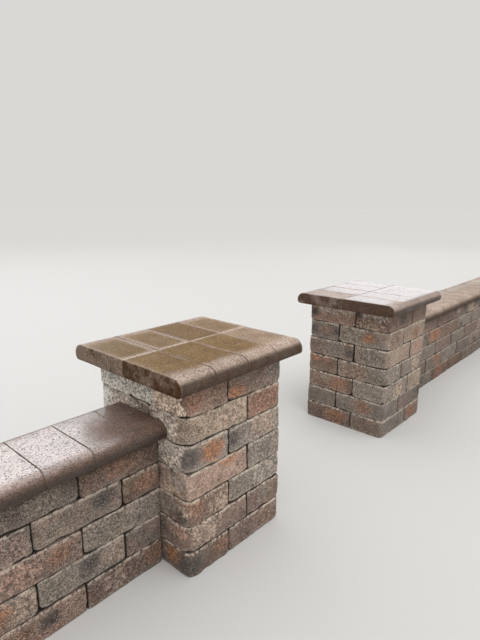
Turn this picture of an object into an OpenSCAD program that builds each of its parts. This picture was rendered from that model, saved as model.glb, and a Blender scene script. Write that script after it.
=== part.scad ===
// Brick garden wall with a gateway: two gate piers, a low wall run on each side and an end pier on each run.
// Tumbled blocks are laid dry in courses, and every top is closed by bullnose coping stones.
// The origin is on the ground in the middle of the gateway, halfway through the wall's thickness.
// +X runs along the wall, +Y points from its front to its back and +Z is up.
// The wall is symmetric about X = 0.

/* [Blocks] */
// Height of one course of blocks
course_h = 100; // [80:1:150]
// Length of a pier block
pier_block_l = 293; // [240:1:400]
// Width of every block, which is the thickness of the low wall
block_w = 193; // [150:1:230]
// Length of a wall block
wall_block_l = 303; // [240:1:400]
// Open joint between neighbouring blocks or stones
joint = 2; // [1:0.5:5]
// Worn edge of a block, which opens every joint into a groove
wear = 6; // [2:0.5:12]

/* [Courses] */
// Number of courses in a pier
pier_courses = 7; // [6:1:12]
// Number of courses in the low wall, which is lower than the piers
wall_courses = 5; // [2:1:5]
// Number of blocks along one wall run
wall_blocks = 10; // [3:1:14]

/* [Gateway] */
// Clear width between the gate piers
gate_w = 920; // [800:1:1500]

/* [Coping] */
// Thickness of a coping stone
coping_t = 60; // [50:1:80]
// Width of a whole coping stone, the same on piers and walls
stone_w = 152.5; // [140:0.5:200]
// Radius of the upper round of the bullnose, which is larger than the lower one
nose_r = 40; // [30:1:45]
// Overhang of a pier cap past the faces with bullnose
cap_over_nose = 52; // [46:1:80]
// Number of stones side by side in a pier cap
cap_stones = 4; // [4:1:5]
// Overhang of the wall coping past the wall's faces
wall_over = 51; // [46:1:80]

/* [Hidden] */
$fn = 64;
// How far a cut runs past the faces that it opens
overcut = 1;
// Least rest of a wall run that gets a cut stone. A narrower one goes to the last whole stone.
least_cut = 50;

// Plan of a pier, which is one block length and one block width in a pinwheel
pier_w = pier_block_l + joint + block_w;
// Distance from the middle of a pier face to its head joint
pinwheel_step = pier_w / 2 - block_w - joint / 2;
// One block of the running bond with its joint
wall_module = wall_block_l + joint;
run_l = wall_blocks * wall_module;

pier_h = pier_courses * course_h;
wall_h = wall_courses * course_h;

gate_pier_x = (gate_w + pier_w) / 2;
wall_x = gate_w / 2 + pier_w + run_l / 2;
end_pier_x = gate_w / 2 + pier_w + run_l + pier_w / 2;

// One whole coping stone with its joint
stone_module = stone_w + joint;
cap_stone_l = (pier_w + 2 * cap_over_nose - joint) / 2;
wall_stone_l = block_w + 2 * wall_over;
whole_stones = floor((run_l - least_cut) / stone_module);
cut_stone_w = run_l - whole_stones * stone_module - joint;

// Name, place and hand of each pier. The hand mirrors the pinwheel.
PIERS = [
    ["left_end_pier", -end_pier_x, -1],
    ["left_gate_pier", -gate_pier_x, 1],
    ["right_gate_pier", gate_pier_x, -1],
    ["right_end_pier", end_pier_x, 1]
];
WALLS = [["left_wall", -wall_x], ["right_wall", wall_x]];

function course_name(owner, k) = str(owner, "_course_", k);
function cap_name(pier) = str(pier, "_cap");
function coping_name(wall) = str(wall, "_coping");

// A rectangle about the origin with its corners cut off
module worn_rectangle(size) {
    x = size[0] / 2;
    y = size[1] / 2;
    polygon([
        [-x + wear, -y], [x - wear, -y], [x, -y + wear], [x, y - wear],
        [x - wear, y], [-x + wear, y], [-x, y - wear], [-x, -y + wear]
    ]);
}

// One course as a box on the ground with every edge worn off
module worn_course(l, w) {
    intersection() {
        linear_extrude(course_h) worn_rectangle([l, w]);
        translate([0, w / 2, course_h / 2])
            rotate([90, 0, 0]) linear_extrude(w) worn_rectangle([l, course_h]);
        translate([-l / 2, 0, course_h / 2])
            rotate([90, 0, 90]) linear_extrude(l) worn_rectangle([w, course_h]);
    }
}

// The groove where two blocks meet, cut into a face at Y = 0 that looks towards -Y
module head_joint() {
    mouth = wear + joint / 2;
    translate([0, 0, -overcut])
        linear_extrude(course_h + 2 * overcut)
            polygon([
                [-mouth, 0], [-mouth, -overcut], [mouth, -overcut],
                [mouth, 0], [joint / 2, wear], [-joint / 2, wear]
            ]);
}

// Four blocks turn round the pier like a pinwheel, and the turn changes from course to course
module pier_course(x, hand, k) {
    turn = k % 2 == 1 ? -hand : hand;
    translate([x, 0, (k - 1) * course_h])
        difference() {
            worn_course(pier_w, pier_w);
            for (a = [0:90:270])
                rotate([0, 0, a]) translate([turn * pinwheel_step, -pier_w / 2, 0]) head_joint();
        }
}

// Running bond: whole blocks in the odd courses, and half a block at each pier in the even ones
module wall_course(x, k) {
    first = k % 2 == 1 ? 1 : 0.5;
    translate([x, 0, (k - 1) * course_h])
        difference() {
            worn_course(run_l, block_w);
            for (a = [0, 180], i = [first:wall_blocks - first])
                rotate([0, 0, a]) translate([i * wall_module - run_l / 2, -block_w / 2, 0]) head_joint();
        }
}

// Outline of a bullnose, its foremost point at X = 0, as far back as the end of the upper round
module bullnose() {
    low_r = coping_t - nose_r;
    translate([nose_r, low_r])
        intersection() {
            circle(nose_r);
            translate([-nose_r, 0]) square(nose_r);
        }
    translate([low_r, low_r])
        intersection() {
            circle(low_r);
            translate([-low_r, -low_r]) square(low_r);
        }
    translate([low_r, 0]) square([nose_r - low_r, low_r]);
}

// One coping stone, w wide along X and l long along Y, with its first nose at Y = 0 looking towards -Y
module coping_stone(w, l, noses) {
    straight = l - noses * nose_r;
    translate([w / 2, 0, 0])
        rotate([90, 0, -90])
            mirror([1, 0, 0])
                linear_extrude(w) {
                    bullnose();
                    translate([nose_r, 0]) square([straight, coping_t]);
                    if (noses == 2) translate([l, 0]) mirror([1, 0]) bullnose();
                }
}

// Two rows of stones meet over the middle of the pier, and their noses look to the front and the back
module pier_cap(x) {
    color([0.38, 0.29, 0.25])
        translate([x, 0, pier_h])
            for (a = [0, 180], i = [0:cap_stones - 1])
                rotate([0, 0, a])
                    translate([(i - (cap_stones - 1) / 2) * stone_module, -cap_stone_l - joint / 2, 0])
                        coping_stone(stone_w, cap_stone_l, 1);
}

// One row of stones lies across the low wall, with a nose over each face.
// Whole stones start at the end pier, and the one against the gate pier is cut to fit.
module wall_coping(x) {
    to_gate = x < 0 ? 1 : -1;
    color([0.38, 0.29, 0.25])
        translate([x, -wall_stone_l / 2, wall_h]) {
            for (i = [0:whole_stones - 1])
                translate([to_gate * ((i + 0.5) * stone_module - run_l / 2), 0, 0])
                    coping_stone(stone_w, wall_stone_l, 2);
            translate([to_gate * (run_l - cut_stone_w - joint) / 2, 0, 0])
                coping_stone(cut_stone_w, wall_stone_l, 2);
        }
}

for (p = PIERS, k = [1:pier_courses])
    color([0.50, 0.43, 0.38]) pier_course(p[1], p[2], k);
for (p = PIERS)
    pier_cap(p[1]);
for (w = WALLS, k = [1:wall_courses])
    color([0.52, 0.45, 0.39]) wall_course(w[1], k);
for (w = WALLS)
    wall_coping(w[1]);
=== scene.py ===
import math

import bpy
import numpy as np
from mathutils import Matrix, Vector


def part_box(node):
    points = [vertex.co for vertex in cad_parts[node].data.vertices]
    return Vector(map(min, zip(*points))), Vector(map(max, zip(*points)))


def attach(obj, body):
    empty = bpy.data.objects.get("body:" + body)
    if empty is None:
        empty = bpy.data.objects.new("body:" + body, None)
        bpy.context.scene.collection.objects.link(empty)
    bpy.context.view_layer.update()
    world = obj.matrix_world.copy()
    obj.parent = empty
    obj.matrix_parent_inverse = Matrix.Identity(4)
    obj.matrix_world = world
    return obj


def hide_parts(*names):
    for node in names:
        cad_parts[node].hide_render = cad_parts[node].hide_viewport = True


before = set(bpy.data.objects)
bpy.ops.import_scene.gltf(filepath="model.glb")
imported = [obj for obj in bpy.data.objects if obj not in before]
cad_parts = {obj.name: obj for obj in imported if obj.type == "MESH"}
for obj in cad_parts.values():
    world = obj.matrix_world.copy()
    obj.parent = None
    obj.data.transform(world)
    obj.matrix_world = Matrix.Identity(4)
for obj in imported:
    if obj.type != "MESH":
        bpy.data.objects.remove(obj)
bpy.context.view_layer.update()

# Sizes in metres, the same as the part's source

PIERS = {"left_end_pier": -1, "left_gate_pier": 1, "right_gate_pier": -1, "right_end_pier": 1}
WALLS = {"left_wall": 1, "right_wall": -1}
PIER_COURSES = 7
WALL_COURSES = 5
WALL_BLOCKS = 10
COURSE_H = 0.100
BLOCK_W = 0.193
PIER_BLOCK_L = 0.293
WALL_BLOCK_L = 0.303
JOINT = 0.002
STONE_W = 0.1525
NOSE_R = 0.040
LOW_R = 0.020
STONE_T = NOSE_R + LOW_R


# Colours

def rgb(r, g, b):
    """The linear colour of an sRGB colour written in steps of 255."""
    c = np.array([r, g, b]) / 255
    return np.where(c <= 0.04045, c / 12.92, ((c + 0.055) / 1.055) ** 2.4)


TONES = {
    "tan": rgb(171, 149, 133),
    "sand": rgb(182, 160, 140),
    "salmon": rgb(180, 146, 129),
    "brown": rgb(147, 120, 104),
    "rust": rgb(152, 114, 93),
    "olive": rgb(147, 134, 119),
    "grey": rgb(160, 147, 136),
    "slate": rgb(138, 125, 115),
    "mauve": rgb(152, 129, 117),
    "char": rgb(88, 80, 76),
    "orange": rgb(165, 115, 83),
    "peach": rgb(194, 164, 147),
    "pale": rgb(214, 200, 186),
    "lime": rgb(244, 240, 230),
    "blush": rgb(252, 226, 204),
    "umber": rgb(130, 105, 89),
}
COMMON = ["tan", "tan", "salmon", "brown", "brown", "olive", "grey", "grey", "slate", "mauve"]
SPOTS = ["char", "char", "slate", "rust", "rust", "orange", "olive", "sand"]


# Noise on arrays of points

def hashed(i, seed):
    """A number from -1 to 1 for each cell of a grid, as if by chance."""
    h = (i[..., 0] * 374761393 + i[..., 1] * 668265263 + i[..., 2] * 1440662683 + seed * 974634777) & 0xFFFFFFFF
    h = ((h ^ (h >> 13)) * 1274126177) & 0xFFFFFFFF
    return ((h ^ (h >> 16)) & 0xFFFFFF) / 0x7FFFFF - 1


def noise(p, size, seed):
    """Smooth noise from -1 to 1 at each point, with bumps about size across."""
    q = p / size + 500  # 500 keeps the cells' numbers positive
    i = np.floor(q).astype(np.int64)
    f = q - i
    f = f * f * (3 - 2 * f)
    total = np.zeros(len(p))
    for corner in np.ndindex(2, 2, 2):
        c = np.array(corner)
        total += np.prod(np.where(c, f, 1 - f), axis=1) * hashed(i + c, seed)
    return total


def ease(x, low, high):
    """0 below low, 1 above high, and a smooth step between them."""
    t = np.clip((x - low) / (high - low), 0, 1)
    return t * t * (3 - 2 * t)


# Shells

def rows(length, near, step):
    """Places from end to end of a length, close together near both ends."""
    near = np.array(near)
    middle = length - 2 * near[-1]
    count = max(1, round(middle / step))
    inner = near[-1] + middle * np.arange(1, count) / count
    return np.concatenate([near, inner, length - near[::-1]]) - length / 2


def shell(x, y, z):
    """The points and quads of the surface of a grid, as one closed skin."""
    shape = (len(x), len(y), len(z))
    outer = np.ones(shape, bool)
    outer[1:-1, 1:-1, 1:-1] = False
    index = np.full(shape, -1)
    index[outer] = np.arange(outer.sum())
    grid = np.stack(np.meshgrid(x, y, z, indexing="ij"), -1)[outer]
    quads = []
    for side, flip in ((index[0], 1), (index[-1], 0), (index[:, 0], 0), (index[:, -1], 1),
                       (index[:, :, 0], 1), (index[:, :, -1], 0)):
        q = np.stack([side[:-1, :-1], side[1:, :-1], side[1:, 1:], side[:-1, 1:]], -1).reshape(-1, 4)
        quads.append(q[:, ::-1] if flip else q)
    return grid, np.concatenate(quads)


def round_edges(p, half, axis, radius):
    """Rounds the four edges along an axis. radius(su, sv) is the radius on one of them, a number or one a point."""
    u, v = [i for i in range(3) if i != axis]
    for su in (-1, 1):
        for sv in (-1, 1):
            r = radius(su, sv) * np.ones(len(p))
            a = su * p[:, u] - (half[u] - r)
            b = sv * p[:, v] - (half[v] - r)
            here = (a > 0) & (b > 0)
            k = np.maximum(a, b)[here] / np.hypot(a, b)[here]
            p[here, u] = su * ((half[u] - r)[here] + a[here] * k)
            p[here, v] = sv * ((half[v] - r)[here] + b[here] * k)


def edge_distance(p, half):
    """How far each point of the skin lies from the nearest edge."""
    return np.sort(half - np.abs(p), axis=1)[:, 1]


# Blocks

# Rows of points near the edges of a block, by their distance from the edge. In the functions below flat holds the
# points of the block before any wear, and p the same points as worn so far.

BLOCK_ROWS = [0, 0.0018, 0.0045, 0.009, 0.016, 0.026]


def cut_off(p, spot, out, depth, near, far):
    """Cuts the block off square to out, at a depth inside a spot on its edge. The cut fades out from near to far."""
    out = out / np.linalg.norm(out)
    above = (p - spot) @ out + depth
    fade = 1 - ease(np.linalg.norm(p - spot, axis=1), near, far)
    p -= np.maximum(above, 0)[:, None] * fade[:, None] * out


def curve_ends(p, flat, half, faces, rng):
    """Curves each end that meets another block, up from the bed below and a little down from the one above."""
    for end in (1, -1):
        if (0, end) in faces:
            continue
        for side in (-1, 1):
            if side > 0:
                rise = rng.uniform(0.002, 0.006)
            else:
                rise = rng.uniform(0.008, 0.016) if rng.random() < 0.85 else rng.uniform(0.003, 0.008)
            reach = rise * rng.uniform(2.0, 3.0)
            t = np.clip(1 - (half[0] - end * flat[:, 0]) / reach, 0, 1)
            share = 0.5 + side * flat[:, 2] / COURSE_H
            p[:, 2] -= side * rise * (1 - np.sqrt(1 - t * t)) * share


def wear_corners(p, half, arris, arris_r, rng):
    """Wears off the eight corners, the lower ones more."""
    for out in np.array([(x, y, z) for x in (-1, 1) for y in (-1, 1) for z in (-1, 1)], float):
        worn = rng.uniform(0.003, 0.009) if out[2] > 0 else rng.uniform(0.004, 0.010)
        if arris == (out[0], out[1]):
            worn += 0.25 * arris_r
        cut_off(p, out * half, out * rng.uniform(0.7, 1.3, 3), worn, 0.020, 0.055)


def chip_edges(p, half, faces, rng):
    """Chips a few places off the edges round the sides that show."""
    for _ in range(rng.integers(5, 12)):
        axis, side = faces[rng.integers(len(faces))]
        across = 2 if rng.random() < 0.7 else 1 - axis
        along = 3 - axis - across
        out = np.zeros(3)
        out[axis] = side
        out[across] = rng.choice([-1, 1])
        spot = out * half
        spot[along] = rng.uniform(-1, 1) * half[along]
        out[along] = rng.uniform(-0.4, 0.4)
        out[axis] *= rng.uniform(0.6, 1.4)
        reach = rng.uniform(0.008, 0.022)
        depth = rng.uniform(0.002, 0.005 if out[2] >= 0 else 0.0035)
        cut_off(p, spot, out, depth, 0.6 * reach, 1.5 * reach)


def roughen(p, flat, half, seed):
    """Makes the faces uneven, and leaves them calm where blocks bear on each other."""
    to_edge = half - np.abs(flat)
    bearing = ease(np.minimum(to_edge[:, 0], to_edge[:, 1]), 0.006, 0.020)
    rough = (1 - bearing) * (1 + 0.6 * np.exp(-edge_distance(flat, half) / 0.007))
    for i in range(3):
        p[:, i] += rough * (0.0013 * noise(flat, 0.060, seed + 3 * i + 1)
                            + 0.0010 * noise(flat, 0.024, seed + 3 * i + 2)
                            + 0.0004 * noise(flat, 0.012, seed + 3 * i + 3))
    sunk = 0.0010 + 0.0016 * noise(flat, 0.030, seed + 11) + 0.0012 * noise(flat, 0.090, seed + 12)
    p[:, 2] -= (1 - bearing) * ease(half[2] - flat[:, 2], 0.016, 0.0) * np.maximum(sunk, 0)
    p[:, 2] = np.clip(p[:, 2], -half[2], half[2])


def joint_shade_and_wear_and_highlight(p, flat, half, faces, seed):
    """How deep each point lies in a joint, which sets the painted shade there, and how much wear and painted
    highlight it catches, from 0 to 1.
    """
    to_edge = half - np.abs(flat)
    inside = np.min([half[a] - s * p[:, a] for a, s in faces], axis=0)
    to_head = np.min([half[a] - s * p[:, a] for a in (0, 1) for s in (-1, 1) if (a, s) not in faces], axis=0)
    # The mouth of each joint and the faces deep inside it are painted dark as shade.
    bed = ease(to_edge[:, 2], 0.0030, 0.0006) * (0.65 + 0.35 * noise(flat, 0.045, seed + 13))
    mouth = ease(inside, 0.0004, 0.0020) * np.maximum(bed, ease(to_head, 0.0038, 0.0012))
    # A faint painted shade along the lower edge of a block.
    foot = 0.10 * ease(to_edge[:, 2], 0.007, 0.001) * (flat[:, 2] < 0)
    gap = np.max([mouth, ease(inside, 0.012, 0.030), foot], axis=0)
    # Pale upper edges: partly wear and partly a painted highlight where the round of the edge faces the sky.
    wear = ease(to_edge[:, 2], 0.018, 0.007) * (1 - gap) * np.where(flat[:, 2] > 0, 1.0, 0.2)
    return gap, wear


def tumbled_block(length, rng, faces, arris, arris_r):
    """One tumbled block about the origin. faces are the sides that show, as (axis, sign), and arris its upright edge
    at the corner of a pier, as (sign, sign), with its radius. Gives its points as worn and before any wear, its
    quads, the painted shade in its joints, and the wear and painted highlight of each point."""
    half = np.array([length, BLOCK_W, COURSE_H]) / 2
    p, quads = shell(rows(length, BLOCK_ROWS, 0.019), rows(BLOCK_W, BLOCK_ROWS, 0.024 if arris else 0.05),
                     rows(COURSE_H, BLOCK_ROWS[:-1], 0.014))
    flat = p.copy()
    seed = int(rng.integers(1 << 30))
    wander = noise(flat, 0.035, seed)
    long_r = {(s, t): rng.uniform(0.0055, 0.0090) if t > 0 else rng.uniform(0.0025, 0.0050)
              for s in (-1, 1) for t in (-1, 1)}
    up_r = {(s, t): rng.uniform(0.0040, 0.0090) for s in (-1, 1) for t in (-1, 1)}
    if arris:
        up_r[arris] = arris_r
    round_edges(p, half, 0, lambda s, t: long_r[s, t] * (1 + 0.4 * wander))
    round_edges(p, half, 2, lambda s, t: up_r[s, t] * (1 + 0.25 * wander))
    curve_ends(p, flat, half, faces, rng)
    wear_corners(p, half, arris, arris_r, rng)
    chip_edges(p, half, faces, rng)
    roughen(p, flat, half, seed)
    return p, flat, quads, *joint_shade_and_wear_and_highlight(p, flat, half, faces, seed)


def turned(p, degrees):
    """The points turned about the origin, seen from above."""
    a = math.radians(degrees)
    return np.stack([p[:, 0] * math.cos(a) - p[:, 1] * math.sin(a),
                     p[:, 0] * math.sin(a) + p[:, 1] * math.cos(a), p[:, 2]], -1)


# The tones of the blocks that the photograph shows, by course and block. The blocks of a course are counted round a
# pier from its front and along a wall from -X. A spot is a tone, its place along, across and up the block from -1
# to 1, and its radius in metres.

SEEN = {
    "left_gate_pier": {
        (7, 0): ("brown", [("orange", -0.7, -1, -0.6, 0.05), ("slate", 0.8, -1, 0, 0.08)]),
        # On the left face of the top course, lime and blush are partly pale efflorescence and partly painted light
        # that lifts the shade under the cap's overhang.
        (7, 2): ("pale", [("lime", 1, 0, 0, 0.20)]),
        (7, 3): ("salmon", [("lime", -0.6, -1, 0.2, 0.16), ("blush", 0.22, -1, 0, 0.13),
                            ("rust", 1, -0.6, 0, 0.06), ("brown", 1, 0.5, 0, 0.09)]),
        (6, 0): ("sand", [("pale", -1, 0.2, 0, 0.09), ("tan", 0.5, -1, 0, 0.09)]),
        (6, 1): ("brown", [("rust", -1, 0.1, 0, 0.12)]),
        (6, 3): ("grey", [("lime", -0.8, -1, 0.4, 0.12), ("pale", -0.1, -1, 0.4, 0.13),
                          ("slate", 0.6, -1, -0.3, 0.06)]),
        (5, 0): ("grey", [("char", -0.9, -1, 0, 0.06), ("tan", 0.3, -1, 0.2, 0.09)]),
        (5, 3): ("grey", [("pale", 0.45, -1, 0.3, 0.09), ("char", 1, -0.8, 0, 0.062),
                          ("orange", 1, 0.2, 0, 0.066)]),
        (4, 0): ("peach", [("orange", 0.3, -1, 0.9, 0.06), ("char", -1, 0.7, 0.1, 0.05),
                           ("char", -1, -0.2, 0.8, 0.035), ("sand", -1, -0.1, -0.5, 0.05),
                           ("grey", -1, -0.5, 0.1, 0.06)]),
        (4, 1): ("grey", [("slate", 0.2, -1, 0, 0.09), ("slate", -1, 0, 0, 0.08)]),
        (3, 0): ("olive", [("grey", 0.5, -1, 0, 0.10)]),
        (3, 3): ("brown", [("rust", 1, -0.7, 0.5, 0.06), ("tan", 1, 0.5, -0.2, 0.06), ("slate", 0.3, -1, 0, 0.08),
                           ("char", 0.7, -1, -0.4, 0.045), ("sand", 0.85, -1, 0.2, 0.045)]),
        (2, 0): ("mauve", [("tan", -0.4, -1, 0.3, 0.08), ("salmon", -1, -0.5, 0.3, 0.05),
                           ("char", -1, 0.5, 0, 0.04)]),
        (2, 1): ("brown", [("slate", -1, 0, 0, 0.06)]),
        (1, 0): ("mauve", [("brown", 0.4, -1, 0, 0.08)]),
        (1, 3): ("umber", [("orange", 0.4, -1, 0.1, 0.05), ("char", 0.95, -0.9, -0.1, 0.075),
                           ("rust", 1, 0.7, 0.1, 0.05)]),
    },
    "right_gate_pier": {
        # The pale spots along the top of the top course are partly efflorescence and partly a painted highlight on
        # the round top edge under the cap.
        (7, 0): ("brown", [("char", -1, 0.8, 0.5, 0.03), ("pale", -1, -0.5, 0.9, 0.07),
                           ("pale", -1, 0.2, 0.9, 0.07), ("tan", -1, 0, -0.6, 0.09),
                           ("char", 0.2, -1, 0, 0.06)]),
        (7, 1): ("brown", []),
        (7, 3): ("salmon", [("char", -0.8, -1, 0, 0.04), ("pale", -0.4, -1, 0.9, 0.07),
                            ("pale", 0.1, -1, 0.9, 0.07), ("pale", 0.6, -1, 0.9, 0.06)]),
        (6, 0): ("sand", [("rust", 0.1, -1, -0.2, 0.06), ("olive", 0.75, -1, 0.3, 0.05)]),
        (6, 2): ("slate", [("char", 1, -0.7, 0, 0.05), ("rust", 1, 0.1, 0, 0.045), ("char", 1, 0.8, 0, 0.035)]),
        (6, 3): ("grey", [("brown", 1, 0, 0, 0.10), ("orange", 0.25, -1, 0, 0.045), ("olive", -0.5, -1, 0, 0.10)]),
        (5, 0): ("sand", [("slate", -1, 0, 0, 0.15)]),
        (5, 1): ("tan", [("salmon", -1, 0, 0, 0.09)]),
        (5, 3): ("brown", [("slate", 0.1, -1, 0, 0.09), ("char", 0.85, -1, -0.2, 0.045)]),
        (4, 0): ("grey", [("sand", 0.3, -1, 0, 0.07)]),
        (4, 2): ("umber", [("orange", 1, -0.6, 0.5, 0.04), ("rust", 1, 0.3, 0.5, 0.04)]),
        (4, 3): ("olive", [("brown", -0.3, -1, 0, 0.10), ("grey", 1, 0, 0, 0.09)]),
        (3, 0): ("grey", [("sand", 0.2, -1, 0, 0.08), ("olive", -1, 0, 0, 0.14)]),
        (3, 1): ("sand", []),
        (3, 3): ("umber", [("rust", 0.3, -1, 0, 0.08), ("orange", 0.5, -1, 0.2, 0.035),
                           ("olive", -0.2, -1, 0.4, 0.05), ("brown", -0.9, -1, 0, 0.07)]),
        (2, 0): ("slate", [("char", 0.9, -1, 0, 0.06)]),
        (2, 2): ("slate", []),
        (2, 3): ("grey", [("rust", 0.15, -1, 0, 0.07)]),
        (1, 0): ("grey", [("umber", -1, 0, 0, 0.12)]),
        (1, 1): ("salmon", [("orange", -1, 0.2, 0, 0.06)]),
        (1, 3): ("brown", [("orange", 0.4, -1, 0, 0.075)]),
    },
    "left_wall": {
        (5, 9): ("brown", [("rust", 0.0, -1, 0.3, 0.07)]),
        (5, 8): ("slate", [("olive", 0.3, -1, 0, 0.06)]),
        (4, 10): ("umber", [("rust", 0.2, -1, 0, 0.05)]),
        (4, 9): ("tan", [("char", 0.55, -1, 0.3, 0.065), ("olive", -0.6, -1, -0.3, 0.05)]),
        (4, 8): ("slate", [("mauve", 0.6, -1, 0, 0.08)]),
        (3, 9): ("grey", [("olive", -0.4, -1, 0, 0.10)]),
        (3, 8): ("mauve", [("rust", 0.5, -1, 0.1, 0.05), ("salmon", -0.3, -1, 0, 0.07)]),
        (2, 10): ("slate", []),
        (2, 9): ("grey", [("char", 0.15, -1, 0.4, 0.060), ("tan", 0.7, -1, 0, 0.07), ("olive", -0.6, -1, 0, 0.08)]),
        (2, 8): ("tan", [("orange", 0.0, -1, 0, 0.09), ("tan", 0.8, -1, 0, 0.06)]),
        (1, 9): ("brown", [("rust", 0.7, -1, 0.2, 0.06), ("tan", -0.3, -1, 0, 0.06)]),
        (1, 8): ("salmon", [("char", 0.2, -1, 0.1, 0.045), ("rust", -0.4, -1, 0, 0.05)]),
    },
    "right_wall": {
        (5, 0): ("slate", []),
        (5, 1): ("mauve", [("rust", -0.8, -1, -0.3, 0.07)]),
        (5, 2): ("brown", []),
        (4, 0): ("grey", []),
        (4, 1): ("olive", []),
        (4, 2): ("brown", [("orange", -0.2, -1, 0, 0.10)]),
        (3, 0): ("grey", []),
        (3, 1): ("grey", [("slate", 0.4, -1, 0, 0.08)]),
        (3, 2): ("mauve", []),
        (2, 0): ("mauve", []),
        (2, 1): ("brown", [("mauve", -0.3, -1, 0, 0.08)]),
        (2, 2): ("olive", [("orange", 0.3, -1, 0.2, 0.07)]),
        (1, 0): ("brown", [("rust", -0.4, -1, 0, 0.08)]),
        (1, 1): ("slate", [("olive", 0.4, -1, 0, 0.06)]),
        (1, 2): ("rust", [("orange", -0.2, -1, 0, 0.07)]),
        (1, 3): ("rust", []),
    },
}

# The radius of the corner of a pier where the photograph shows a block worn more or less than most, in metres

CORNERS = {
    "left_gate_pier": {(7, 3): 0.030, (6, 0): 0.045, (5, 3): 0.045, (4, 0): 0.012, (3, 3): 0.032, (2, 0): 0.035,
                       (1, 3): 0.026},
    "right_gate_pier": {(6, 3): 0.030, (5, 0): 0.028, (4, 3): 0.020, (3, 0): 0.022, (2, 3): 0.020, (1, 0): 0.020},
}

# How light the blocks of a part are

SHADE = {"left_wall": 0.82, "right_wall": 0.87, "right_gate_pier": 0.97, "left_gate_pier": 1.05}

# How far a block may lie from its place along X and Y in metres, and how much its worn edges show, with their
# painted highlight

PIER_SLACK = (0.0013, 0.0015)
WALL_SLACK = (0.0008, 0.0022)
PIER_WEAR_AND_HIGHLIGHT = 1.1
WALL_WEAR_AND_HIGHLIGHT = 0.75


def seed_of(name):
    """A seed that stays the same for a name from run to run."""
    seed = 0
    for letter in name:
        seed = (seed * 131 + ord(letter)) % 1000003
    return seed


def middle_of(low, high):
    return np.array([(low.x + high.x) / 2, (low.y + high.y) / 2, (low.z + high.z) / 2])


def placed(name, data):
    """A new object in the scene."""
    thing = bpy.data.objects.new(name, data)
    bpy.context.scene.collection.objects.link(thing)
    return thing


def look(owner, key, rng):
    """The tone and spots of a block, as the photograph shows them or by chance."""
    if key in SEEN.get(owner, {}):
        return SEEN[owner][key]
    spots = [(SPOTS[rng.integers(len(SPOTS))], rng.uniform(-1, 1), rng.choice([-1, 1]), rng.uniform(-0.6, 0.6),
              rng.uniform(0.04, 0.10)) for _ in range(rng.integers(0, 4))]
    return COMMON[rng.integers(len(COMMON))], spots


# The kind of mesh attribute, and the name of its value, for each number of values a point

LAYERS = {1: ("FLOAT", "value"), 3: ("FLOAT_VECTOR", "vector"), 4: ("FLOAT_COLOR", "color")}


class Skin:
    """Gathers shells into one mesh with what its material reads."""

    def __init__(self):
        self.parts = []
        self.count = 0

    def add(self, p, quads, **values):
        self.parts.append((p, quads + self.count, values))
        self.count += len(p)

    def piece(self, name, material, slot, nodes):
        mesh = bpy.data.meshes.new(name)
        p = np.concatenate([part[0] for part in self.parts])
        quads = np.concatenate([part[1] for part in self.parts])
        mesh.from_pydata(p.tolist(), [], quads.tolist())
        for key in self.parts[0][2]:
            data = np.concatenate([part[2][key] for part in self.parts])
            kind, field = LAYERS[1 if data.ndim == 1 else data.shape[1]]
            layer = mesh.attributes.new(key, kind, "POINT")
            layer.data.foreach_set(field, np.ascontiguousarray(data, np.float32).ravel())
        mesh.shade_smooth()
        mesh.materials.append(material)
        piece = placed(name, mesh)
        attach(piece, "root")
        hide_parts(*nodes)


def lay_block(skin, owner, key, length, centre, degrees, faces, arris, rng):
    """Adds one block to a course, turned and set down with a small error of its own. key is its course and block."""
    arris_r = CORNERS.get(owner, {}).get(key, rng.uniform(0.008, 0.018))
    p, flat, quads, gap, wear = tumbled_block(length, rng, faces, arris, arris_r)
    tone, spots = look(owner, key, rng)
    half = np.array([length, BLOCK_W, COURSE_H]) / 2
    up = flat[:, 2]
    in_wall = owner in WALLS

    # The bottom course is less worn along its foot, so it stands square on the ground
    if key[0] == 1:
        p[:, 2] += 0.7 * ease(up + half[2], 0.014, 0) * (up - p[:, 2])

    # Darker near the ground, and in a top course painted shade under the overhang of the coping, with some damp
    damp = 0.74 + 0.26 * ease(up + centre[2], 0.02, 0.26)
    if key[0] == PIER_COURSES:
        damp = damp * (0.80 + 0.14 * ease(up, 0.03, -0.05))
    elif key[0] == WALL_COURSES and in_wall:
        damp = damp * (0.45 + 0.42 * ease(up, 0.034, 0.0) + 0.07 * ease(up, 0.0, -0.05))
    level = rng.uniform(0.90, 1.03) * SHADE.get(owner, 1.0) * damp[:, None]

    colour = np.ones((len(p), 4))
    colour[:, :3] = TONES[tone] * level
    other = np.ones((len(p), 4))
    other[:, :3] = (TONES[tone] + TONES[COMMON[rng.integers(len(COMMON))]]) / 2 * level
    stain = np.zeros((len(p), 4))
    for name, *place, radius in spots:
        near = 1 - np.linalg.norm((flat - place * half) * [1, 1, 1.3], axis=1) / radius
        take = near > stain[:, 3]
        stain[take, :3] = (TONES[name] * level)[take]
        stain[take, 3] = near[take]
    offset = rng.uniform(-40, 40, 3)
    slack = WALL_SLACK if in_wall else PIER_SLACK
    shift = [rng.uniform(-1, 1) * slack[0], rng.uniform(-1, 1) * slack[1], 0]
    at = turned(p, degrees + rng.uniform(-0.5, 0.5)) + centre + shift
    skin.add(at, quads, tone=colour, other=other, stain=stain, grain=flat + offset, gap=gap,
             wear=wear * (WALL_WEAR_AND_HIGHLIGHT if in_wall else PIER_WEAR_AND_HIGHLIGHT))


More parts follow.
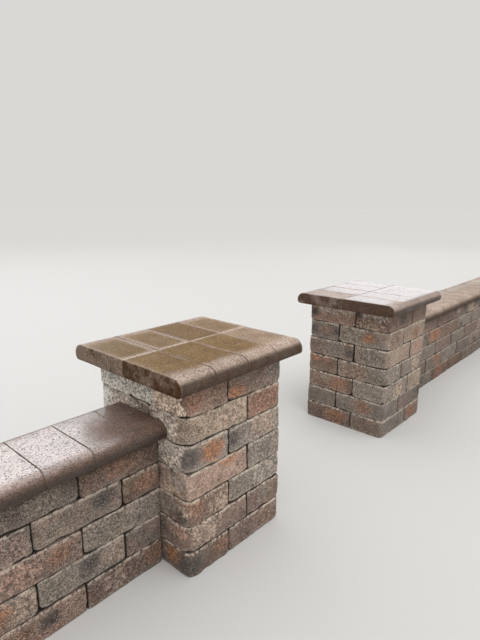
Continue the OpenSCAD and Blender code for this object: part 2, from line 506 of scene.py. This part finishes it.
def pier_course(owner, hand, k, material):
    """Four blocks round the pier like a pinwheel."""
    node = f"{owner}_course_{k}"
    middle = middle_of(*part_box(node))
    turn = -hand if k % 2 else hand
    rng = np.random.default_rng(seed_of(node))
    offset = np.array([[-turn * (BLOCK_W + JOINT) / 2, -(PIER_BLOCK_L + JOINT) / 2, 0]])
    skin = Skin()
    for a in range(4):
        centre = middle + turned(offset, 90 * a)[0]
        lay_block(skin, owner, (k, a), PIER_BLOCK_L, centre, 90 * a, [(1, -1), (0, -turn)], (-turn, -1), rng)
    skin.piece(f"{owner}_blocks_{k}", material, "block", [node])


def wall_course(owner, k, material):
    """Running bond, with half a block at each end of the even courses."""
    node = f"{owner}_course_{k}"
    low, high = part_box(node)
    rng = np.random.default_rng(seed_of(node))
    module = WALL_BLOCK_L + JOINT
    ends = [i * module for i in range(WALL_BLOCKS + 1)]
    if k % 2 == 0:
        ends = [0] + [(i + 0.5) * module for i in range(WALL_BLOCKS)] + [WALL_BLOCKS * module]
    skin = Skin()
    for i, (start, end) in enumerate(zip(ends, ends[1:])):
        centre = middle_of(low, high)
        centre[0] = low.x + (start + end) / 2
        lay_block(skin, owner, (k, i), end - start - JOINT, centre, 0, [(1, -1), (1, 1)], None, rng)
    skin.piece(f"{owner}_blocks_{k}", material, "block", [node])


# Coping stones

# Rows of points in from the edges of a stone, and in from the back of a stone with one nose

STONE_ROWS = [0, 0.0012, 0.003, 0.007, 0.011]
BACK_ROWS = np.array([0.032, 0.007, 0.003, 0.0012, 0])

# The small round of the edges other than the nose

ARRIS_R = 0.0015
SEAM_R = 0.0016


def coping_stone(width, length, noses, rng):
    """One coping stone about the origin, a nose to -Y and a second one to +Y if there are two."""
    half = np.array([width, length, STONE_T]) / 2
    y = rows(length, np.linspace(0, NOSE_R, 7), 0.032)
    if noses == 1:
        y = np.concatenate([y[y <= length / 2 - 0.055], length / 2 - BACK_ROWS])
    p, quads = shell(rows(width, STONE_ROWS, 0.022), y, np.linspace(-half[2], half[2], 10))
    flat = p.copy()
    seed = int(rng.integers(1 << 30))
    wander = noise(flat, 0.02, seed)

    def front(s, t):
        if s > 0 and noses == 1:
            return ARRIS_R
        return NOSE_R if t > 0 else LOW_R

    round_edges(p, half, 0, front)
    round_edges(p, half, 2, lambda s, t: ARRIS_R)
    round_edges(p, half, 1, lambda s, t: SEAM_R * (1 + 0.6 * wander))
    p += 0.0002 * np.stack([noise(flat, 0.05, seed + i) for i in range(1, 4)], -1)
    return np.clip(p, -half, half), flat, quads


def lay_stone(skin, width, length, noses, centre, degrees, pool, outer, tone, shade_span, rng):
    """Adds one stone. pool is how wet it is, and how far the wet part stays from the seams, the front nose, the back
    and the end of the cap. outer is the side that ends a cap, 0 for none. tone is how light the stone and its cut
    end are, as steps up or down. The last argument is where the painted shade on its nose begins and where it is
    full, as distances down from the middle of the round."""
    p, flat, quads = coping_stone(width, length, noses, rng)
    half = np.array([width, length, STONE_T]) / 2
    damp, from_side, from_front, from_back, from_end = pool
    side = half[0] - np.abs(flat[:, 0])
    to_outer = half[0] - outer * flat[:, 0]
    to_back = half[1] - flat[:, 1]
    to_nose = half[1] - np.abs(flat[:, 1]) if noses == 2 else half[1] + flat[:, 1]
    rim = np.min([side - np.where(outer * flat[:, 0] > 0, from_end, from_side),
                  0.45 * (half[1] + flat[:, 1] - from_front), to_back - from_back], axis=0)
    cut = np.maximum(side < 1e-6, 0.8 * ease(to_outer, 0.0050, 0.0012) * abs(outer))
    # Painted shade down the nose, darkest under it.
    drip = ease(half[2] - flat[:, 2] - np.minimum(to_nose, NOSE_R), *shade_span) * (1 - cut)
    # Painted shade in the seams between stones.
    gap = ease(side, 0.0022, 0.0006) * (1 if noses == 2 else ease(to_nose, 0.052, 0.038))
    line = ease(to_back, 0.0036, 0.0010) * (noses == 1)
    arris = 1 - ease(np.abs(to_outer - 0.007), 0.002, 0.005)
    line = np.maximum(line, 0.45 * arris * (flat[:, 2] > half[2] - 1e-6) * abs(outer))
    shade = np.where(cut > 0, tone[1], tone[0])
    slip = rng.uniform(-4e-4, 4e-4)
    if outer:
        slip = -outer * abs(slip)
    at = turned(p + [slip, 0, 0], degrees) + centre - [0, 0, rng.uniform(0, 8e-4)]
    skin.add(at, quads, grain=flat + rng.uniform(-40, 40, 3), rim=rim, gap=gap, line=line, shade=shade, cut=cut,
             drip=drip, damp=np.full(len(p), float(damp)))


# How wet the stones of a cap are, by row and place. The four distances are those that the wet part keeps from the
# seams, the nose, the middle of the cap and its end, in metres. At PAST it runs over the edge and shows no rim.

PAST = -0.1
POOLS = {
    "left_gate_pier": {
        (0, -1.5): (1.0, -0.008, 0.050, -0.006, -0.020), (0, -0.5): (1.0, -0.012, 0.046, -0.012, 0.0),
        (0, 0.5): (1.0, -0.006, 0.042, -0.006, 0.0), (0, 1.5): (0.5, -0.006, 0.055, 0.0, -0.006),
        (180, 1.5): (1.0, 0.011, 0.046, 0.006, -0.011), (180, 0.5): (0.9, 0.006, 0.048, 0.004, 0.0),
        (180, -0.5): (1.0, -0.010, 0.020, -0.010, 0.0), (180, -1.5): (0.8, 0.0, 0.050, 0.0, 0.0),
    },
    "right_gate_pier": {
        (0, -1.5): (1.0, 0.004, 0.035, PAST, 0.004), (180, 1.5): (0.25, 0.0, 0.0, 0.0, 0.0),
        (180, 0.5): (1.0, 0.0, PAST, PAST, 0.0),
    },
}

# A film of water all over a stone, and one that is a little thinner along the nose, on the front row of a cap

FILM = (1.0, PAST, PAST, PAST, PAST)
FILM_FRONT = (1.0, PAST, -0.012, PAST, PAST)

# Where the painted shade on a nose begins and where it is full

CAP_NOSE_SHADE = {"right_gate_pier": (0.010, 0.036)}
USUAL_CAP_NOSE_SHADE = (-0.012, 0.022)
WALL_NOSE_SHADE = (-0.002, 0.042)

# How light a stone and its cut end are, as steps up or down, where the photograph shows it

STONE_TONES = {
    ("left_gate_pier", 0, -1.5): (-0.8, -0.25), ("left_gate_pier", 180, 1.5): (-1.0, 1.1),
    ("left_gate_pier", 0, 1.5): (0.7, 0.0), ("left_gate_pier", 180, -0.5): (-1.0, 0.0),
    ("right_gate_pier", 0, -1.5): (-0.9, -1.5), ("right_gate_pier", 180, 1.5): (-0.8, -0.4),
    # The left wall's stones get darker towards the gate pier: painted shade and painted reflection of the pier on
    # the wet coping.
    ("left_wall", 19): (-2.4, 0), ("left_wall", 18): (-1.3, 0), ("left_wall", 17): (0.4, 0),
    ("left_wall", 16): (1.0, 0), ("left_wall", 15): (1.0, 0),
}


def stone_tone(key, rng):
    return STONE_TONES.get(key, (rng.uniform(-1, 1),) * 2)


def pier_cap(owner, material):
    """Two rows of four stones, their noses to the front and the back."""
    node = f"{owner}_cap"
    low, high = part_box(node)
    rng = np.random.default_rng(seed_of(node))
    middle = middle_of(low, high)
    length = (high.y - low.y - JOINT) / 2
    skin = Skin()
    for a in (0, 180):
        for i in (-1.5, -0.5, 0.5, 1.5):
            offset = np.array([[i * (STONE_W + JOINT), -(length + JOINT) / 2, 0]])
            chance = (rng.uniform(0.4, 1.2), rng.uniform(-0.008, 0.010), rng.uniform(0.045, 0.070),
                      rng.uniform(-0.008, 0.010))
            if material is POOLED:
                pool = (*chance, chance[1])
            else:
                pool = FILM_FRONT if a == 0 else FILM
            pool = POOLS.get(owner, {}).get((a, i), pool)
            tone = stone_tone((owner, a, i), rng)
            lay_stone(skin, STONE_W, length, 1, middle + turned(offset, a)[0], a, pool, int(i / 1.5), tone,
                      CAP_NOSE_SHADE.get(owner, USUAL_CAP_NOSE_SHADE), rng)
    skin.piece(f"{owner}_coping", material, "coping", [node])


def wall_coping(owner, to_gate, material):
    """One row of stones across the wall, from the end pier to a cut stone against the gate pier."""
    node = f"{owner}_coping"
    low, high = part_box(node)
    rng = np.random.default_rng(seed_of(node))
    run = WALL_BLOCKS * (WALL_BLOCK_L + JOINT)
    module = STONE_W + JOINT
    whole = int(run / module)
    start = (low.x + high.x - to_gate * run) / 2
    skin = Skin()
    for i in range(whole + 1):
        width = STONE_W if i < whole else run - whole * module - JOINT
        centre = middle_of(low, high)
        centre[0] = start + to_gate * (i * module + (width + JOINT) / 2)
        chance = (1.0, rng.uniform(0, 0.012), rng.uniform(0.13, 0.16), rng.uniform(0.03, 0.05), 0.0)
        tone = stone_tone((owner, i), rng)
        lay_stone(skin, width, high.y - low.y, 2, centre, 0, chance if material is POOLED else FILM, 0, tone,
                  WALL_NOSE_SHADE, rng)
    skin.piece(f"{owner}_stones", material, "coping", [node])


# Materials

class Shader:
    """The nodes of a material or of the world, added one call at a time."""

    def __init__(self, owner, surface="Principled BSDF"):
        owner.use_nodes = True
        self.owner = owner
        self.tree = owner.node_tree
        self.surface = self.tree.nodes[surface]

    def out(self, name, value):
        self.put(self.surface.inputs[name], value)

    def put(self, socket, value):
        if isinstance(value, bpy.types.NodeSocket):
            self.tree.links.new(value, socket)
        elif value is not None:
            socket.default_value = value

    def node(self, kind, inputs, **settings):
        n = self.tree.nodes.new("ShaderNode" + kind)
        for key, value in settings.items():
            setattr(n, key, value)
        for key, value in inputs.items():
            self.put(n.inputs[key], value)
        return n

    def read(self, name):
        return self.node("Attribute", {}, attribute_name=name)

    def dots(self, at, size, radius, share):
        """Round grains of a given radius, in a share of the cells of a given size. 1 inside a grain."""
        n = self.node("TexVoronoi", {"Vector": at, "Scale": 1 / size})
        near = self.ease(n.outputs["Distance"], radius / size * 1.25, radius / size * 0.75)
        chosen = self.node("SeparateColor", {0: n.outputs["Color"]}).outputs[0]
        return self.math("MULTIPLY", near, self.math("LESS_THAN", chosen, share))

    def noise(self, at, size, detail=2.0, rough=0.5):
        n = self.node("TexNoise", {"Vector": at, "Scale": 1 / size, "Detail": detail, "Roughness": rough})
        return n.outputs[0]

    def ease(self, value, low, high, to_low=0.0, to_high=1.0):
        n = self.node("MapRange", {"Value": value, "From Min": low, "From Max": high, "To Min": to_low,
                                   "To Max": to_high}, interpolation_type="SMOOTHSTEP")
        return n.outputs[0]

    def math(self, how, a, b):
        return self.node("Math", {0: a, 1: b}, operation=how).outputs[0]

    def mix(self, share, a, b, how="MIX"):
        n = self.node("Mix", {0: share}, data_type="RGBA", blend_type=how)
        for socket, value in ((n.inputs[6], a), (n.inputs[7], b)):
            if isinstance(value, np.ndarray):
                value = (*value, 1)
            self.put(socket, value)
        return n.outputs[2]

    def tint(self, colour, value):
        """The colour times a number, where 1 leaves it as it is."""
        return self.node("VectorMath", {0: colour, "Scale": value}, operation="SCALE").outputs[0]

    def bump(self, strength, distance, height):
        n = self.node("Bump", {"Strength": strength, "Distance": distance, "Height": height})
        self.out("Normal", n.outputs[0])


def block_material():
    """Tumbled concrete. Its base is a cloud of two tones, with spots of others. Over it go a coarse and a fine
    mottle, dark and pale grains, worn edges partly painted as highlight, and the painted shade of the joints."""
    s = Shader(bpy.data.materials.new("tumbled_block"))
    grain = s.read("grain").outputs["Vector"]
    stain = s.read("stain")
    cloud = s.noise(grain, 0.065, 4, 0.6)
    patch = s.noise(grain, 0.022, 3, 0.6)
    flake = s.noise(grain, 0.011, 2, 0.6)
    fine = s.noise(grain, 0.0048, 3, 0.7)
    speck = s.noise(grain, 0.0030, 1, 0.5)
    colour = s.mix(s.ease(s.noise(grain, 0.10, 3, 0.6), 0.40, 0.60, 0.0, 0.8), s.read("tone").outputs["Color"],
                   s.read("other").outputs["Color"])
    colour = s.tint(colour, s.ease(cloud, 0.33, 0.67, 0.84, 1.16))
    reach = s.math("ADD", stain.outputs["Alpha"], s.ease(patch, 0.2, 0.8, -0.30, 0.30))
    reach = s.math("ADD", reach, s.ease(flake, 0.3, 0.7, -0.20, 0.20))
    colour = s.mix(s.ease(reach, -0.10, 0.60, 0.0, 0.92), colour, stain.outputs["Color"])
    colour = s.tint(colour, s.ease(patch, 0.33, 0.67, 0.81, 1.19))
    colour = s.tint(colour, s.ease(flake, 0.35, 0.65, 0.73, 1.27))
    colour = s.tint(colour, s.ease(fine, 0.34, 0.66, 0.42, 1.58))
    crowd = s.ease(s.noise(grain, 0.03, 2, 0.6), 0.3, 0.7, 0.20, 0.60)
    colour = s.mix(s.math("MULTIPLY", s.dots(grain, 0.0050, 0.0013, 0.60), 0.80), colour, rgb(44, 36, 31))
    colour = s.mix(s.math("MULTIPLY", s.dots(grain, 0.0038, 0.0010, crowd), 0.90), colour, rgb(228, 214, 198))
    # Worn edges, partly wear and partly painted highlight.
    worn = s.math("MULTIPLY", s.read("wear").outputs["Fac"], s.ease(s.math("ADD", flake, patch), 0.88, 1.08))
    colour = s.mix(s.math("MULTIPLY", worn, 0.85), colour, rgb(214, 199, 182))
    # Painted shade in the joints.
    gap = s.read("gap").outputs["Fac"]
    colour = s.mix(s.ease(gap, 0.0, 0.7, 0.0, 0.92), colour, rgb(36, 29, 24))
    s.out("Base Color", colour)
    s.out("Roughness", s.ease(patch, 0.3, 0.7, 0.84, 0.96))
    height = s.math("ADD", s.math("MULTIPLY", fine, 0.7), s.math("MULTIPLY", speck, 0.4))
    height = s.math("ADD", height, s.math("MULTIPLY", patch, 1.2))
    s.bump(1.0, 0.003, height)
    return s.owner


def coping_material(name, wet, line, low, bright, pitted, specular, gloss):
    """Smooth-cast coping. wet is its darkest and lightest tone where it is wet, line the tone of the seams on its
    flat, low the tone of the painted shade under its nose, bright and pitted how much its pale grains and its pits
    show, specular how strongly it mirrors, and gloss the roughness of its wet parts."""
    s = Shader(bpy.data.materials.new(name))
    grain = s.read("grain").outputs["Vector"]
    cloud = s.noise(grain, 0.08, 4, 0.6)
    patch = s.noise(grain, 0.025, 3, 0.6)
    fine = s.noise(grain, 0.006, 2, 0.6)
    rim = s.math("ADD", s.read("rim").outputs["Fac"], s.ease(cloud, 0.25, 0.75, -0.006, 0.006))
    rim = s.math("ADD", rim, s.ease(patch, 0.25, 0.75, -0.006, 0.006))
    rim = s.math("ADD", rim, s.ease(fine, 0.25, 0.75, -0.004, 0.004))
    pool = s.math("MINIMUM", s.math("MULTIPLY", s.ease(rim, 0.000, 0.020), s.read("damp").outputs["Fac"]), 1.0)
    dry = s.mix(s.ease(cloud, 0.3, 0.7), rgb(161, 140, 127), rgb(183, 163, 149))
    colour = s.mix(pool, dry, s.mix(s.ease(cloud, 0.3, 0.7), *wet))
    shade = s.read("shade").outputs["Fac"]
    colour = s.tint(colour, s.math("ADD", 1.0, s.math("MULTIPLY", shade, 0.10)))
    colour = s.tint(colour, s.ease(patch, 0.25, 0.75, 0.90, 1.10))
    colour = s.tint(colour, s.ease(fine, 0.35, 0.65, 0.64, 1.36))
    colour = s.mix(s.math("MULTIPLY", s.dots(grain, 0.0066, 0.0013, 0.35), bright), colour, rgb(226, 206, 192))
    clumps = s.ease(s.noise(grain, 0.0085, 2, 0.6), 0.60, 0.68, 0.0, 0.8)
    pits = s.math("MULTIPLY", s.math("MAXIMUM", s.dots(grain, 0.0062, 0.0019, 0.50), clumps), pitted)
    colour = s.mix(pits, colour, rgb(40, 30, 25))
    # Painted shade on the nose, down to the tone low.
    drip = s.math("MULTIPLY", s.read("drip").outputs["Fac"], s.ease(patch, 0.2, 0.8, 0.85, 1.0))
    colour = s.mix(drip, colour, low)
    cut = s.read("cut").outputs["Fac"]
    end = s.ease(s.math("ADD", s.math("MULTIPLY", shade, 0.12), cloud), 0.36, 0.64)
    end = s.tint(s.mix(end, rgb(84, 61, 44), rgb(142, 124, 111)), s.ease(fine, 0.3, 0.7, 0.6, 1.4))
    colour = s.mix(cut, colour, end)
    keep = s.ease(cut, 1.0, 0.0, 0.0, 0.9)
    # Painted shade in the seams, kept off the cut ends.
    gap = s.math("MULTIPLY", s.read("gap").outputs["Fac"], keep)
    colour = s.mix(gap, colour, rgb(40, 32, 27))
    seam = s.math("MULTIPLY", s.read("line").outputs["Fac"], s.ease(fine, 0.40, 0.54, 0.2, 1.0))
    seam = s.math("MULTIPLY", seam, s.ease(cloud, 0.35, 0.60, 0.45, 1.0))
    colour = s.mix(s.math("MULTIPLY", seam, keep), colour, line)
    s.out("Base Color", colour)
    matt = s.math("MULTIPLY", s.math("MAXIMUM", s.math("MAXIMUM", cut, gap), pits), 0.95)
    s.out("Roughness", s.math("MAXIMUM", s.ease(pool, 0.0, 1.0, 0.65, gloss), matt))
    s.out("Specular IOR Level", specular)
    height = s.math("SUBTRACT", s.math("MULTIPLY", fine, 0.5), pits)
    height = s.math("ADD", height, s.math("MULTIPLY", s.math("MULTIPLY", patch, cut), 3.0))
    s.bump(0.35, 0.0012, height)
    return s.owner


# The wall

BLOCK = block_material()
POOLED = coping_material("pooled_coping", (rgb(115, 87, 47), rgb(130, 102, 61)), rgb(232, 216, 198),
                         rgb(76, 61, 50), 0.80, 0.50, 0.05, 0.30)
# On the filmed coping the seams' line is dark, painted shade.
FILMED = coping_material("filmed_coping", (rgb(113, 89, 77), rgb(134, 109, 96)), rgb(50, 40, 33),
                         rgb(55, 40, 31), 0.10, 0.95, 0.5, 0.28)
for owner, hand in PIERS.items():
    for k in range(1, PIER_COURSES + 1):
        pier_course(owner, hand, k, BLOCK)
    pier_cap(owner, FILMED if owner == "right_gate_pier" else POOLED)
for owner, to_gate in WALLS.items():
    for k in range(1, WALL_COURSES + 1):
        wall_course(owner, k, BLOCK)
    wall_coping(owner, to_gate, FILMED if owner == "left_wall" else POOLED)


# Floor, light and camera

def make_floor(reach):
    s = Shader(bpy.data.materials.new("pale_floor"))
    s.out("Base Color", (*rgb(206, 205, 203), 1))
    s.out("Roughness", 0.9)
    mesh = bpy.data.meshes.new("floor")
    corners = [(-reach, -reach, 0), (reach, -reach, 0), (reach, reach, 0), (-reach, reach, 0)]
    mesh.from_pydata(corners, [], [(0, 1, 2, 3)])
    mesh.materials.append(s.owner)
    return placed("floor", mesh)


def make_sky():
    """An even pale sky to look at, and one that grows brighter upwards to light the wall."""
    world = bpy.data.worlds.new("world")
    bpy.context.scene.world = world
    sky = Shader(world, "Background")
    path = sky.node("LightPath", {}).outputs
    shown = sky.math("MAXIMUM", sky.math("MAXIMUM", path["Is Camera Ray"], path["Is Glossy Ray"]),
                     path["Is Transmission Ray"])
    height = sky.node("SeparateXYZ", {0: sky.node("TexCoord", {}).outputs["Generated"]}).outputs["Z"]
    seen = sky.math("MULTIPLY", shown, 0.70)
    unseen = sky.math("MULTIPLY", sky.math("SUBTRACT", 1.0, shown), sky.ease(height, 0.0, 1.0, 0.22, 1.15))
    sky.out("Color", (1.0, 0.98, 0.95, 1))
    sky.out("Strength", sky.math("MAXIMUM", seen, unseen))


def soft_sun(name, towards, strength, angle):
    """Light from one direction of an overcast sky, towards being the way to it."""
    light = bpy.data.lights.new(name, "SUN")
    light.energy = strength
    light.angle = math.radians(angle)
    light.color = (0.94, 0.97, 1.0)
    placed(name, light).rotation_euler = Vector(towards).to_track_quat("Z", "Y").to_euler()


def soft_box(name, at, target, width, height, level):
    """A soft box that shows in wet stone and nowhere else, and whose face looks as bright as level."""
    light = bpy.data.lights.new(name, "AREA")
    light.shape = "RECTANGLE"
    light.size, light.size_y = width, height
    light.energy = level * math.pi * width * height
    light.color = (0.92, 0.96, 1.0)
    lamp = placed(name, light)
    lamp.location = at
    lamp.rotation_euler = (Vector(target) - Vector(at)).to_track_quat("-Z", "Y").to_euler()
    lamp.visible_camera = False
    lamp.visible_diffuse = False


floor = make_floor(60)
make_sky()
soft_box("back_left", (0.3, 7.9, 8.1), (-1.2, 0, 0.5), 8, 8.2, 7.9)
soft_box("above", (0.5, 0.3, 9.0), (0.5, 0.3, 0), 11.4, 8.6, 4.7)
soft_box("back_right", (11.6, 4.0, 3.9), (0.7, 0, 0.76), 5.8, 4.6, 2.5)
soft_sun("key", (-0.12, -0.68, 1.0), 1.1, 60)

camera = placed("camera", bpy.data.cameras.new("camera"))
camera.data.sensor_width = 36
camera.data.lens = 27.873
camera.location = (-1.90998, -1.33789, 1.28198)
camera.rotation_euler = [math.radians(a) for a in (76.213, -0.229, -47.881)]
bpy.context.scene.camera = camera
bpy.context.scene.view_settings.view_transform = "Standard"
